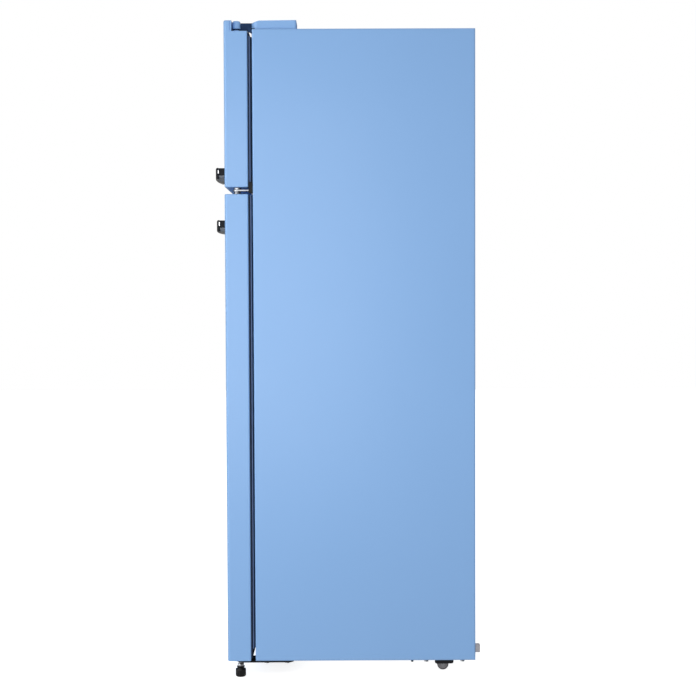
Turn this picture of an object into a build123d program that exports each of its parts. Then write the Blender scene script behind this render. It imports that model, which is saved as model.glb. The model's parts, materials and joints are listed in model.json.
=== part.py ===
"""Two-door top freezer refrigerator with chrome bar handles, modelled piece by piece.

Frame: millimetres, +Z up, the doors face -Y, the door hinges are on the +X side.
The pieces are drawn with the hinges and the cabinet about one datum, and each is moved as it is
saved: the saved origin is the centre of the footprint, on the floor.
"""
from build123d import *
import os

# ---------------------------------------------------------------- driving dimensions
HALF_WIDTH = 274.0            # cabinet and doors are 548 wide
DOOR_FRONT = -253.5           # y of the flat door fronts
DOOR_BACK = -202.0            # y of the doors' rear faces
CABINET_FRONT = -192.0        # y of the cabinet's front flanges
CABINET_BACK = 294.5          # y of the steel back panel
SPACER_END = 304.6            # y of the wall spacers' tips
CABINET_BOTTOM = 42.0
CABINET_TOP = 1430.0
CROWN_TOP = 1448.8            # the front of the freezer door stands above the cabinet top
HINGE_COVER_TOP = 1449.8
FREEZER_DOOR_BOTTOM = 1087.2
FRIDGE_DOOR_TOP = 1072.0
FRIDGE_DOOR_BOTTOM = 42.0

SHEET = 1.0                   # steel sheet
LINER = 2.0                   # vacuum-formed plastic
FRONT_FLANGE = 30.0           # width of the side panels' front returns
SIDE_FLANGE = 12.0            # width of their other returns
PANEL_RADIUS = 4.0
WALL_INNER = 228.0            # x where the side insulation ends
DIVIDER_BOTTOM = 1044.0
DIVIDER_TOP = 1118.0
CEILING = 1374.0              # z of the underside of the top insulation
FLOOR = 93.0                  # z of the top of the bottom insulation
BACK_INNER = 239.5            # y of the front of the back insulation
BAY_FRONT = 94.5              # the compressor bay is open at the back, below the cabinet
BAY_TOP = 242.0
HUMP_FRONT = 49.5             # the insulation over the bay, as seen from the food space
HUMP_TOP = 287.0
EVAPORATOR = 1.6              # aluminium evaporator sheet
LINER_BACK = 238.0
CONDENSER_GAP = 5.0           # recess in the side insulation for the condenser tube

HINGE_X = 252.0               # the two doors turn about one vertical axis
HINGE_Y = -226.5
PIN_RADIUS = 4.0
PIN_HOLE = 4.06
BOSS_RADIUS = 9.0
STEP_FLOOR = 1425.2           # behind its raised front edge the freezer door is lower
STEP_FRONT = -236.5

GASKET_OUTER = 266.0          # half width over the door seals
FREEZER_GASKET = (1098.5, 1413.6)
FREEZER_GASKET_BASE = (1091.0, STEP_FLOOR - 1)
FRIDGE_GASKET = (67.5, 1070.0)
FRIDGE_GASKET_BASE = (47.0, 1070.5)

HANDLE_LEFT = -253.0
HANDLE_RIGHT = -91.0
HANDLE_HEIGHT = 28.0
HANDLE_BOW = 5.5              # the bars curve forward at the middle
HANDLE_BAR = 7.5              # and are this thick
FREEZER_HANDLE = (1149.0, -305.5)   # z of the middle, y of the front at the ends
FRIDGE_HANDLE = (1021.4, -303.8)

GROUND = 3.4                  # the feet and the rollers stand at this height
FOOT_RADIUS = 11.5
WHEEL_RADIUS = 12.7
WHEEL_X = 199.0
WHEEL_Y = 226.8
WHEEL_Z = GROUND + WHEEL_RADIUS
WHEEL_WIDTH = 18.0
AXLE_RADIUS = 3.0

COMPRESSOR = (40.0, 195.0)
BASE_TOP = 45.0


# ---------------------------------------------------------------- helpers
def block(x0, x1, y0, y1, z0, z1):
    """A box between two corners."""
    centre = Pos((x0 + x1) / 2, (y0 + y1) / 2, (z0 + z1) / 2)
    return centre * Box(abs(x1 - x0), abs(y1 - y0), abs(z1 - z0))


def post(x, y, z0, z1, radius):
    """A vertical cylinder."""
    return Pos(x, y, (z0 + z1) / 2) * Cylinder(radius, z1 - z0)


def bar_x(x0, x1, y, z, radius):
    """A cylinder along X."""
    return Pos((x0 + x1) / 2, y, z) * Rot(0, 90, 0) * Cylinder(radius, x1 - x0)


def bar_y(x, y0, y1, z, radius):
    """A cylinder along Y."""
    return Pos(x, (y0 + y1) / 2, z) * Rot(90, 0, 0) * Cylinder(radius, y1 - y0)


def joined(pieces):
    """One solid from touching pieces."""
    whole = pieces[0]
    for piece in pieces[1:]:
        whole = whole + piece
    return whole


def group(pieces):
    """Separate solids that share a node."""
    solids = []
    for piece in pieces:
        solids.extend(piece.solids())
    return Compound(children=solids)


def mirrored(shape):
    return mirror(shape, about=Plane.YZ)


def profile_x(points, x0, x1):
    """A (y, z) outline carried along X."""
    outline = Plane.YZ * Polygon(*points, align=None)
    return Pos(x0, 0, 0) * extrude(outline, x1 - x0)


def tube(points, radius, bend):
    """A round tube along straight runs joined by arcs."""
    path = FilletPolyline(*points, radius=bend)
    start = Vector(*points[0])
    section = Plane(origin=start, z_dir=Vector(*points[1]) - start) * Circle(radius)
    return sweep(section, path=path)


def hexagon(x, y, z0, z1, across_flats):
    """A vertical hexagonal prism."""
    outline = Pos(x, y, z0) * RegularPolygon(across_flats / 2, 6, major_radius=False)
    return extrude(outline, z1 - z0)


def save(name, shape):
    """Write a node, moved so that the origin is under the middle of the footprint."""
    front = FREEZER_HANDLE[1] - HANDLE_BOW
    placed = Pos(0, -(front + SPACER_END) / 2, -GROUND) * shape
    export_step(placed, f"parts/{name}.step")


# ---------------------------------------------------------------- cabinet casing
def side_panel():
    """Right side: a folded steel tray whose edges turn inwards."""
    open_side = HALF_WIDTH - FRONT_FLANGE
    outer = block(open_side, HALF_WIDTH, CABINET_FRONT, CABINET_BACK, CABINET_BOTTOM, CABINET_TOP)
    outer = fillet(outer.faces().sort_by(Axis.X)[-1].edges(), PANEL_RADIUS)
    inner = block(open_side - 5, HALF_WIDTH - SHEET, CABINET_FRONT + SHEET, CABINET_BACK - SHEET,
                  CABINET_BOTTOM + SHEET, CABINET_TOP - SHEET)
    inner = fillet(inner.faces().sort_by(Axis.X)[-1].edges(), PANEL_RADIUS - SHEET)
    narrow = block(open_side - 5, HALF_WIDTH - SIDE_FLANGE, CABINET_FRONT + SHEET, CABINET_BACK + 5,
                   CABINET_BOTTOM - 5, CABINET_TOP + 5)
    return outer - inner - narrow


def top_panel():
    """Lid between the side panels with a raised field, turned down at the front."""
    edge = HALF_WIDTH - SIDE_FLANGE
    lid = block(-edge, edge, CABINET_FRONT + SHEET, CABINET_BACK, CABINET_TOP - SHEET, CABINET_TOP)
    field, rise = 245, 0.5
    raised = block(-field, field, -85, 280, CABINET_TOP, CABINET_TOP + rise)
    raised = fillet(raised.edges().filter_by(Axis.Z), 20)
    lid = lid + raised - Pos(0, 0, -rise - SHEET) * raised
    seal_face = HALF_WIDTH - FRONT_FLANGE
    front = block(-seal_face, seal_face, CABINET_FRONT, CABINET_FRONT + SHEET,
                  CABINET_TOP - FRONT_FLANGE, CABINET_TOP)
    return lid + front


def back_panel():
    """Steel back, tucked behind the side panels' returns, with three long pressed ribs."""
    edge = HALF_WIDTH - PANEL_RADIUS - SHEET
    rear = CABINET_BACK - SHEET
    sheet = block(-edge, edge, rear - SHEET, rear, BAY_TOP, CABINET_TOP - SHEET)
    ribs = []
    for x in (-150, 0, 150):
        rib = block(x - 9, x + 9, rear, CABINET_BACK, 330, 1340)
        ribs.append(fillet(rib.edges().filter_by(Axis.Y), 8.9))
    return joined([sheet] + ribs)


def centre_beam():
    """Steel channel across the front of the divider."""
    reach = HALF_WIDTH - FRONT_FLANGE
    face = block(-reach, reach, CABINET_FRONT, CABINET_FRONT + SHEET, DIVIDER_BOTTOM, DIVIDER_TOP)
    web = 20
    low = block(-WALL_INNER, WALL_INNER, CABINET_FRONT, CABINET_FRONT + web, DIVIDER_BOTTOM,
                DIVIDER_BOTTOM + SHEET)
    high = block(-WALL_INNER, WALL_INNER, CABINET_FRONT, CABINET_FRONT + web, DIVIDER_TOP - SHEET,
                 DIVIDER_TOP)
    return joined([face, low, high])


def bottom_beam():
    """Lower front cross-member that carries the bottom hinge and the front feet."""
    reach = HALF_WIDTH - FRONT_FLANGE
    face = block(-reach, reach, CABINET_FRONT, CABINET_FRONT + SHEET, CABINET_BOTTOM, FLOOR)
    edge = HALF_WIDTH - SIDE_FLANGE
    foot = block(-edge, edge, CABINET_FRONT, -100, HINGE_PLATE_TOP, CABINET_BOTTOM)
    return face + foot


def bottom_pan():
    """Folded sheet under the insulation and over the compressor bay."""
    edge = HALF_WIDTH - SIDE_FLANGE
    inside = HALF_WIDTH - PANEL_RADIUS
    underside = block(-edge, edge, CABINET_FRONT + SHEET, BAY_FRONT + SHEET, CABINET_BOTTOM,
                      CABINET_BOTTOM + SHEET)
    wall = block(-inside, inside, BAY_FRONT, BAY_FRONT + SHEET, CABINET_BOTTOM + SHEET,
                 BAY_TOP + SHEET)
    ceiling = block(-inside, inside, BAY_FRONT, CABINET_BACK - 2 * SHEET, BAY_TOP,
                    BAY_TOP + SHEET)
    return joined([underside, wall, ceiling])


# ---------------------------------------------------------------- insulation and liners
def condenser_tube():
    """Right-hand half of the skin condenser: a serpentine against the side panel."""
    radius = 2.4
    x = HALF_WIDTH - SHEET - radius - 0.1
    low, high, pitch, first = 300, 1350, 80, -150
    points = [(x, first, low)]
    for run in range(6):
        y = first + run * pitch
        end = high if run % 2 == 0 else low
        points.append((x, y, end))
        points.append((x, y + pitch, end))
    return tube(points[:-1], radius, 30)


def switch_pocket():
    """Space in the wall for the door switch and its button."""
    return bar_y(SWITCH_X, CABINET_FRONT - 1, SWITCH_BACK, SWITCH_Z, SWITCH_RADIUS + 0.3)


def cabinet_foam():
    """Rigid insulation, as the slabs around the two food spaces."""
    front = CABINET_FRONT + SHEET
    back = CABINET_BACK - 2 * SHEET
    side = HALF_WIDTH - SHEET
    top = CABINET_TOP - SHEET
    bottom = CABINET_BOTTOM + SHEET
    over_bay = BAY_TOP + SHEET
    slabs = [
        block(-WALL_INNER, WALL_INNER, BACK_INNER, back, over_bay, top),
        block(-WALL_INNER, WALL_INNER, front, BACK_INNER, CEILING, top),
        block(-WALL_INNER, WALL_INNER, front, BACK_INNER, DIVIDER_BOTTOM + SHEET,
              DIVIDER_TOP - SHEET),
        block(-WALL_INNER, WALL_INNER, front, BAY_FRONT, bottom, FLOOR),
        block(-WALL_INNER, WALL_INNER, HUMP_FRONT, BAY_FRONT, FLOOR, over_bay),
        block(-WALL_INNER, WALL_INNER, HUMP_FRONT, BACK_INNER, over_bay, HUMP_TOP),
    ]
    corner = PANEL_RADIUS - SHEET
    tall = block(WALL_INNER, side, front, back, over_bay, top)
    tall = chamfer(tall.faces().sort_by(Axis.X)[-1].edges().sort_by(Axis.Z)[1:], corner)
    tall = tall - block(side - CONDENSER_GAP, side + 1, -160, 262, 290, 1362)
    low = block(WALL_INNER, side, front, BAY_FRONT, bottom, over_bay)
    outer_edges = low.faces().sort_by(Axis.X)[-1].edges()
    front_edge = outer_edges.filter_by(Axis.Z).sort_by(Axis.Y)[0]
    bottom_edge = outer_edges.filter_by(Axis.Y).sort_by(Axis.Z)[0]
    low = chamfer([front_edge, bottom_edge], corner)
    slabs.append(tall)
    slabs.append(low)
    slabs.append(mirrored(tall) - switch_pocket())
    slabs.append(mirrored(low))
    return group(slabs)


def freezer_liner():
    """Moulded freezer compartment with its front rim."""
    side = WALL_INNER - EVAPORATOR
    low = DIVIDER_TOP + EVAPORATOR
    high = CEILING - EVAPORATOR
    shell = block(-side, side, CABINET_FRONT, LINER_BACK, low, high)
    room = block(-side + LINER, side - LINER, CABINET_FRONT - 20, LINER_BACK - LINER,
                 low + LINER, high - LINER)
    room = fillet(room.edges().filter_by(Axis.Y), 12)
    rim_side = HALF_WIDTH - FRONT_FLANGE
    rim = block(-rim_side, rim_side, CABINET_FRONT, CABINET_FRONT + SHEET, DIVIDER_TOP,
                CABINET_TOP - FRONT_FLANGE)
    return (shell + rim) - room


def fridge_liner():
    """Moulded fridge compartment, stepped over the compressor bay, with shelf ledges."""
    outline = [(CABINET_FRONT, FLOOR), (HUMP_FRONT, FLOOR), (HUMP_FRONT, HUMP_TOP),
               (LINER_BACK, HUMP_TOP), (LINER_BACK, DIVIDER_BOTTOM),
               (CABINET_FRONT, DIVIDER_BOTTOM)]
    shell = profile_x(outline, -WALL_INNER, WALL_INNER)
    inner = [(CABINET_FRONT - 20, FLOOR + LINER), (HUMP_FRONT - LINER, FLOOR + LINER),
             (HUMP_FRONT - LINER, HUMP_TOP + LINER), (LINER_BACK - LINER, HUMP_TOP + LINER),
             (LINER_BACK - LINER, DIVIDER_BOTTOM - LINER),
             (CABINET_FRONT - 20, DIVIDER_BOTTOM - LINER)]
    room = profile_x(inner, -WALL_INNER + LINER, WALL_INNER - LINER)
    rim_side = HALF_WIDTH - FRONT_FLANGE
    rim = block(-rim_side, rim_side, CABINET_FRONT, CABINET_FRONT + SHEET, FLOOR, DIVIDER_BOTTOM)
    pieces = [(shell + rim) - room]
    wall = WALL_INNER - LINER
    for z in LEDGES:
        ledge = block(wall - 7, wall + 1, SHELF_FRONT + 5, SHELF_BACK, z - 10, z)
        ledge = chamfer(ledge.edges().filter_by(Axis.Y).sort_by(Axis.Z)[0], 5)
        pieces.append(ledge)
        pieces.append(mirrored(ledge))
    pocket = bar_y(SWITCH_X, CABINET_FRONT - 1, CABINET_FRONT + 5, SWITCH_Z, SWITCH_RADIUS + 0.3)
    return joined(pieces) - pocket


def evaporators():
    """Aluminium sleeve round the freezer liner and a plate behind the fridge liner."""
    outer = block(-WALL_INNER, WALL_INNER, -150, 230, DIVIDER_TOP, CEILING)
    side = WALL_INNER - EVAPORATOR
    hollow = block(-side, side, -160, 240, DIVIDER_TOP + EVAPORATOR, CEILING - EVAPORATOR)
    plate = block(-180, 180, LINER_BACK, BACK_INNER, 700, 1000)
    return group([outer - hollow, plate])


# ---------------------------------------------------------------- hinges, feet and rollers
HINGE_PLATE_TOP = 40.0
BOTTOM_PLATE = 2.4
HINGE_PLATE = 3.0
ARM_INNER = 238.0
ARM_OUTER = 254.0
ARM_END = 7.0
RIB_TOP = 1445.4
RIB_INNER = 248.0
MIDDLE_PLATE_TOP = 1082.0
MIDDLE_PLATE = 2.6
CAP_RADIUS = 8.9              # of the cap over the top pin
LIP_LOW = 1422.8              # underside of the top hinge's downward lip
SWEEP = 32.4                  # radius about the pins that the doors' corners stay within


def top_hinge():
    """Flat steel plate on the cabinet top; its narrow arm carries the freezer door's pin."""
    top = CABINET_TOP + HINGE_PLATE
    base = block(206, 262, CABINET_FRONT - 2, -104, CABINET_TOP, top)
    base = fillet(base.edges().filter_by(Axis.Z).sort_by(Axis.Y)[-2:], 8)
    arm = block(ARM_INNER, ARM_OUTER, HINGE_Y, CABINET_FRONT, CABINET_TOP, top)
    tip = post(HINGE_X - 5, HINGE_Y, CABINET_TOP, top, ARM_END)
    eye = post(HINGE_X, HINGE_Y, CABINET_TOP, top, ARM_END)
    lip = block(206, 262, CABINET_FRONT - 2, CABINET_FRONT, LIP_LOW, top)
    rib = block(RIB_INNER, ARM_OUTER, HINGE_Y + CAP_RADIUS + 0.3, -180, top, RIB_TOP)
    rib = chamfer(rib.edges().filter_by(Axis.X).sort_by(Axis.Z)[-2:].sort_by(Axis.Y)[-1], 7)
    upstand = block(ARM_INNER, ARM_INNER + 3.5, STEP_FRONT + 0.6, CABINET_FRONT - 4, CABINET_TOP,
                    RIB_TOP)
    ear_back = CABINET_FRONT - 1.8
    ear = block(257, 272.5, CABINET_FRONT - 8.5, ear_back, LIP_LOW, top)
    ear = ear + block(257, 272.5, ear_back, CABINET_FRONT, LIP_LOW, CABINET_TOP - 0.2)
    ear = ear - post(HINGE_X, HINGE_Y, LIP_LOW - 1, top + 1, SWEEP)
    pin = post(HINGE_X, HINGE_Y, 1411, top + 9, PIN_RADIUS)
    solid = joined([base, arm, tip, eye, lip, rib, upstand, ear, pin])
    for x, y in TOP_SCREWS:
        solid = solid - post(x, y, CABINET_TOP - 1, top + 1, 3.1)
    return solid


def top_hinge_pin_cap():
    """Domed painted cap over the end of the hinge pin."""
    low = CABINET_TOP + HINGE_PLATE
    cap = post(HINGE_X, HINGE_Y, low, HINGE_COVER_TOP, CAP_RADIUS)
    cap = fillet(cap.edges().sort_by(Axis.Z)[-1], 3.5)
    return cap - post(HINGE_X, HINGE_Y, low - 1, low + 10, PIN_RADIUS + 0.05)


def top_hinge_cover():
    """Painted plastic cover over the hinge plate, open below and slotted for the arm."""
    front, back, left, right = CABINET_FRONT - 1.7, -95.2, 200, 266
    crest, slope_end, slope_top = HINGE_COVER_TOP, -177, HINGE_COVER_TOP - 0.9
    slope_low = 1443.8
    wall = 2.2
    outer = [(back, CABINET_TOP), (back, crest), (slope_end, slope_top), (front, slope_low),
             (front, CABINET_TOP)]
    inner = [(back - wall, CABINET_TOP - 1), (back - wall, slope_top - wall),
             (slope_end + 1, slope_top - wall), (front + wall, slope_low - wall + 0.3),
             (front + wall, CABINET_TOP - 1)]
    shell = profile_x(outer, left, right)
    plan = block(left, right, front, back, CABINET_TOP - 1, crest + 1)
    plan = fillet(plan.edges().filter_by(Axis.Z).sort_by(Axis.Y)[:2], 16)
    plan = fillet(plan.edges().filter_by(Axis.Z).sort_by(Axis.Y)[-2:], 4)
    hollow = block(left + wall, right - wall, front + wall, back - wall, CABINET_TOP - 2,
                   crest + 1)
    hollow = fillet(hollow.edges().filter_by(Axis.Z).sort_by(Axis.Y)[:2], 16 - wall)
    shell = (shell & plan) - (profile_x(inner, left + wall, right - wall) & hollow)
    rib_slot = block(RIB_INNER - 1, ARM_OUTER + 1, front - 1, -178, CABINET_TOP - 1,
                     RIB_TOP + 0.3)
    arm_slot = block(204, 264, front - 1, front + 13, CABINET_TOP - 1,
                     CABINET_TOP + HINGE_PLATE + 0.3)
    return shell - rib_slot - arm_slot


def waisted_collar(z0, z1):
    """Spacer round a hinge pin, slightly narrower at its middle."""
    wide, narrow = 8.2, 6.8
    middle = (z0 + z1) / 2
    lower = Pos(HINGE_X, HINGE_Y, (z0 + middle) / 2) * Cone(wide, narrow, middle - z0)
    upper = Pos(HINGE_X, HINGE_Y, (z1 + middle) / 2) * Cone(narrow, wide, z1 - middle)
    return lower + upper


def middle_hinge():
    """Zinc-plated angle on the divider with a pin up and a pin down."""
    low = MIDDLE_PLATE_TOP - MIDDLE_PLATE
    plate = block(238, 262, HINGE_Y, CABINET_FRONT - MIDDLE_PLATE, low, MIDDLE_PLATE_TOP)
    eye = post(HINGE_X, HINGE_Y, low, MIDDLE_PLATE_TOP, 10)
    flange = block(236, 262, CABINET_FRONT - MIDDLE_PLATE, CABINET_FRONT, 1072, 1091)
    collar = waisted_collar(FRIDGE_DOOR_TOP + 0.6, FREEZER_DOOR_BOTTOM - 0.6)
    pin = post(HINGE_X, HINGE_Y, 1058, 1102, PIN_RADIUS)
    plate = plate - block(230, 242, HINGE_Y - 1, HINGE_Y + 8, low - 1, MIDDLE_PLATE_TOP + 1)
    return joined([plate, eye, flange, collar, pin])


def middle_hinge_cover():
    """Black plastic wedge that closes the end of the gap outside the doors' sweep."""
    wedge = block(262.5, 272.5, CABINET_FRONT - 9, CABINET_FRONT, 1073.8, 1098)
    wedge = chamfer(wedge.edges().filter_by(Axis.Y), 1)
    return wedge - post(HINGE_X, HINGE_Y, 1073, 1099, SWEEP)


def foot_plate():
    """Right-hand bottom plate: it runs forward under the door to the pin and the foot."""
    inner, outer, rear = 216, 268, -108
    low = HINGE_PLATE_TOP - BOTTOM_PLATE
    plate = block(inner, outer, HINGE_Y, rear, low, HINGE_PLATE_TOP)
    plate = chamfer(plate.edges().filter_by(Axis.Z).sort_by(Axis.Y)[-2:], 8)
    eye = post(HINGE_X, HINGE_Y, low, HINGE_PLATE_TOP, 9.5)
    corner = block(inner - 1, HINGE_X - 8.5, HINGE_Y - 1, HINGE_Y + 9, low - 1, HINGE_PLATE_TOP + 1)
    other = block(HINGE_X + 8.5, outer + 1, HINGE_Y - 1, HINGE_Y + 6, low - 1,
                  HINGE_PLATE_TOP + 1)
    plate = joined([plate - corner - other, eye])
    for y in BOTTOM_BOLTS:
        plate = plate - post(HINGE_X, y, low - 1, HINGE_PLATE_TOP + 1, 3.1)
    return plate


def foot_hole():
    low = HINGE_PLATE_TOP - BOTTOM_PLATE
    return post(HINGE_X, HINGE_Y, low - 1, HINGE_PLATE_TOP - 0.4, 5.05)


def bottom_hinge():
    """Foot plate with the fridge door's lower pin and thrust collar."""
    collar = post(HINGE_X, HINGE_Y, HINGE_PLATE_TOP, FRIDGE_DOOR_BOTTOM - 0.6, 8)
    pin = post(HINGE_X, HINGE_Y, HINGE_PLATE_TOP, 56, PIN_RADIUS)
    return joined([foot_plate(), collar, pin]) - foot_hole()


def left_foot_bracket():
    return mirrored(foot_plate() - foot_hole())


def front_foot():
    """Levelling foot: ribbed cup with a flared collar, zinc hexagon and a threaded stud."""
    shoulder, collar_top = 21.0, 26.0
    cup = post(HINGE_X, HINGE_Y, GROUND, shoulder, FOOT_RADIUS)
    cup = fillet(cup.edges().sort_by(Axis.Z)[0], 3)
    cup = fillet(cup.edges().sort_by(Axis.Z)[-1], 1.5)
    grooves = 16
    for index in range(grooves):
        turn = Rot(0, 0, index * 360 / grooves)
        cup = cup - Pos(HINGE_X, HINGE_Y, 0) * turn * post(FOOT_RADIUS + 0.5, 0, 7, 18, 1.1)
    collar_height = collar_top - shoulder
    collar = Pos(HINGE_X, HINGE_Y, shoulder + collar_height / 2) * Cone(7.4, 9.2, collar_height)
    hex_head = hexagon(HINGE_X, HINGE_Y, collar_top, 33, 13.5)
    stud = post(HINGE_X, HINGE_Y, 33, HINGE_PLATE_TOP - 1, 5)
    return joined([cup, collar, hex_head, stud])


def roller_bracket():
    """Right-hand steel bracket for the rear roller: inner cheek with the axle, outer skirt."""
    rear, front = 250.6, 208.5
    top = CABINET_BOTTOM + SHEET
    sheet = 1.5
    skirt_low, cheek_low = 18.3, WHEEL_Z - 6
    skirt_outline = [(front, top), (front, skirt_low + 3), (front + 2.5, skirt_low),
                     (rear - 2.5, skirt_low), (rear, skirt_low + 3), (rear, top)]
    cheek_outline = [(front, top), (front, 24), (WHEEL_Y - 7, cheek_low), (WHEEL_Y + 7, cheek_low),
                     (rear, 24), (rear, top)]
    skirt_x = WHEEL_X + CHEEK
    fork = joined([profile_x(skirt_outline, skirt_x - sheet, skirt_x),
                   profile_x(cheek_outline, WHEEL_X - CHEEK, WHEEL_X - CHEEK + sheet),
                   block(WHEEL_X - CHEEK, skirt_x, front, rear, top - sheet, top)])
    return fork - bar_x(WHEEL_X - CHEEK - 1, WHEEL_X, WHEEL_Y, WHEEL_Z, AXLE_RADIUS + 0.02)


CHEEK = 12.5                  # half width of the roller bracket


def roller_axle():
    """Stub axle riveted in the inner cheek; its head holds the wheel."""
    half = WHEEL_WIDTH / 2
    shaft = bar_x(WHEEL_X - CHEEK - 2, WHEEL_X + half + 1, WHEEL_Y, WHEEL_Z, AXLE_RADIUS)
    head = bar_x(WHEEL_X + half + 0.2, WHEEL_X + half + 1.6, WHEEL_Y, WHEEL_Z, 4.6)
    rivet = bar_x(WHEEL_X - CHEEK - 2, WHEEL_X - CHEEK - 0.1, WHEEL_Y, WHEEL_Z, 4.6)
    return joined([shaft, head, rivet])


def roller():
    """Hard plastic wheel with a dished face."""
    half = WHEEL_WIDTH / 2
    wheel = bar_x(WHEEL_X - half, WHEEL_X + half, WHEEL_Y, WHEEL_Z, WHEEL_RADIUS)
    wheel = fillet(wheel.edges(), 1.5)
    for x0, x1 in ((WHEEL_X + half - 2, WHEEL_X + half + 1), (WHEEL_X - half - 1, WHEEL_X - half + 2)):
        dish = bar_x(x0, x1, WHEEL_Y, WHEEL_Z, 9.5)
        wheel = wheel - (dish - bar_x(x0 - 1, x1 + 1, WHEEL_Y, WHEEL_Z, 5.5))
    return wheel - bar_x(WHEEL_X - 12, WHEEL_X + 12, WHEEL_Y, WHEEL_Z, AXLE_RADIUS + 0.06)


def cabinet_screws():
    """Hinge, foot bracket and roller bracket screws, each a separate solid."""
    low = HINGE_PLATE_TOP - BOTTOM_PLATE
    screws = []
    for x, y in TOP_SCREWS:
        head = hexagon(x, y, CABINET_TOP + HINGE_PLATE, CABINET_TOP + HINGE_PLATE + 4, 10)
        screws.append(head + post(x, y, CABINET_TOP, CABINET_TOP + HINGE_PLATE, 3))
    for side in (1, -1):
        for y in BOTTOM_BOLTS:
            head = hexagon(side * HINGE_X, y, low - 4.5, low, 10)
            screws.append(head + post(side * HINGE_X, y, low, HINGE_PLATE_TOP, 3))
        for y in (186, 266):
            flange_x = side * (HALF_WIDTH - SIDE_FLANGE / 2)
            screws.append(post(flange_x, y, CABINET_BOTTOM - 3, CABINET_BOTTOM, 4.5))
    return group(screws)


TOP_SCREWS = ((220, -170), (220, -122), (238, -122))
BOTTOM_BOLTS = (-168.5, -123.1)


# ---------------------------------------------------------------- refrigeration parts
def compressor_base():
    """Pressed steel shelf across the bay with four mounting studs."""
    edge = HALF_WIDTH - PANEL_RADIUS - 0.3
    low = CABINET_BOTTOM + SHEET
    plate = block(-edge, edge, 110, 290, low, BASE_TOP)
    lips = [block(-edge, edge, 110, 112, low, BASE_TOP + 12),
            block(-edge, edge, 288, 290, low, BASE_TOP + 12)]
    studs = []
    for x, y in compressor_feet():
        studs.append(post(x, y, BASE_TOP, BASE_TOP + 20, 3.5))
    return joined([plate] + lips + studs)


def compressor_feet():
    x, y = COMPRESSOR
    return [(x + dx, y + dy) for dx in (-80, 80) for dy in (-42, 42)]


def compressor_grommets():
    rings = []
    for x, y in compressor_feet():
        ring = post(x, y, BASE_TOP, BASE_TOP + 12, 11)
        ring = fillet(ring.edges(), 2)
        rings.append(ring - post(x, y, BASE_TOP - 1, BASE_TOP + 13, 3.8))
    return group(rings)


def compressor():
    """Welded steel can with a foot plate and three tube stubs."""
    x, y = COMPRESSOR
    low = BASE_TOP + 12
    can = fillet(post(x, y, low + 5, low + 155, 64).edges(), 36)
    seam = fillet(post(x, y, low + 78, low + 84, 67).edges(), 1.5)
    plate = block(x - 95, x + 95, y - 55, y + 55, low, low + 3)
    plate = fillet(plate.edges().filter_by(Axis.Z), 14)
    plate = plate + post(x, y, low, low + 12, 40)
    for hole_x, hole_y in compressor_feet():
        plate = plate - post(hole_x, hole_y, low - 1, low + 4, 5)
    stubs = [bar_x(x - 80, x - 40, stub_y, stub_z, 4.5) for stub_y, stub_z in STUBS]
    return joined([plate, can, seam] + stubs)


STUBS = ((185, 160), (212, 146), (196, 110))


def start_relay_cover():
    """Plastic box on the side of the compressor."""
    x = COMPRESSOR[0] + 67.5
    box = block(x, x + 30, 168, 222, 92, 162)
    return fillet(box.faces().sort_by(Axis.X)[-1].edges(), 6)


def refrigerant_tubes():
    """Suction, discharge and service tubes in the bay."""
    start = COMPRESSOR[0] - 80
    suction = [(start, 185, 160), (start - 35, 185, 160), (start - 35, 185, BAY_TOP)]
    discharge = [(start, 212, 146), (start - 75, 212, 146), (start - 75, 262, 146),
                 (start - 75, 262, 90), (start - 170, 262, 90), (start - 170, 262, BAY_TOP)]
    service = [(start, 196, 110), (start - 28, 196, 110), (start - 28, 246, 110)]
    drier_top = [(DRIER[0], DRIER[1], 190), (DRIER[0], DRIER[1], BAY_TOP)]
    drier_bottom = [(DRIER[0], DRIER[1], 96), (DRIER[0], DRIER[1], 70),
                    (DRIER[0] + 55, DRIER[1], 70), (DRIER[0] + 55, DRIER[1], BAY_TOP)]
    return group([tube(suction, 4, 14), tube(discharge, 3, 14), tube(service, 3, 12),
                  post(drier_top[0][0], drier_top[0][1], 190, BAY_TOP, 3),
                  tube(drier_bottom, 2.4, 11)])


DRIER = (180, 240)


def filter_drier():
    x, y = DRIER
    can = post(x, y, 104, 182, 9)
    upper = Pos(x, y, 186) * Cone(9, 4, 8)
    lower = Pos(x, y, 100) * Cone(4, 9, 8)
    return joined([can, upper, lower])


def drip_tray():
    """Shallow tray above the compressor that catches the defrost water."""
    x, y = COMPRESSOR
    tray = block(x - 70, x + 70, y - 50, y + 50, 216, 238)
    tray = fillet(tray.edges().filter_by(Axis.Z), 10)
    room = block(x - 67.5, x + 67.5, y - 47.5, y + 47.5, 218.5, 240)
    return tray - fillet(room.edges().filter_by(Axis.Z), 7.5)


def rear_wall_spacers():
    """Two stops that keep the back clear of a wall."""
    spacer = block(262.5, 272.5, CABINET_BACK, SPACER_END, 59.6, 77.3)
    spacer = fillet(spacer.faces().sort_by(Axis.Y)[-1].edges(), 2)
    return group([spacer, mirrored(spacer)])


def cord_gland():
    """Strain-relief bush where the mains lead would leave the bay wall."""
    flange = bar_y(-150, BAY_FRONT + SHEET, BAY_FRONT + SHEET + 3, 120, 10)
    barrel = bar_y(-150, BAY_FRONT + SHEET + 3, BAY_FRONT + SHEET + 18, 120, 7)
    return flange + barrel


# ---------------------------------------------------------------- inside the food spaces
SHELF_FRONT = -105.0
SHELF_BACK = 230.0
LEDGES = (330.0, 560.0, 790.0)
GLASS = 4.0
CRISPER_FRONT = -122.0
CRISPER_BACK = 40.0
SWITCH_X = -236.0
SWITCH_Z = 960.0
SWITCH_RADIUS = 5.0
SWITCH_BACK = -160.0


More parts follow.
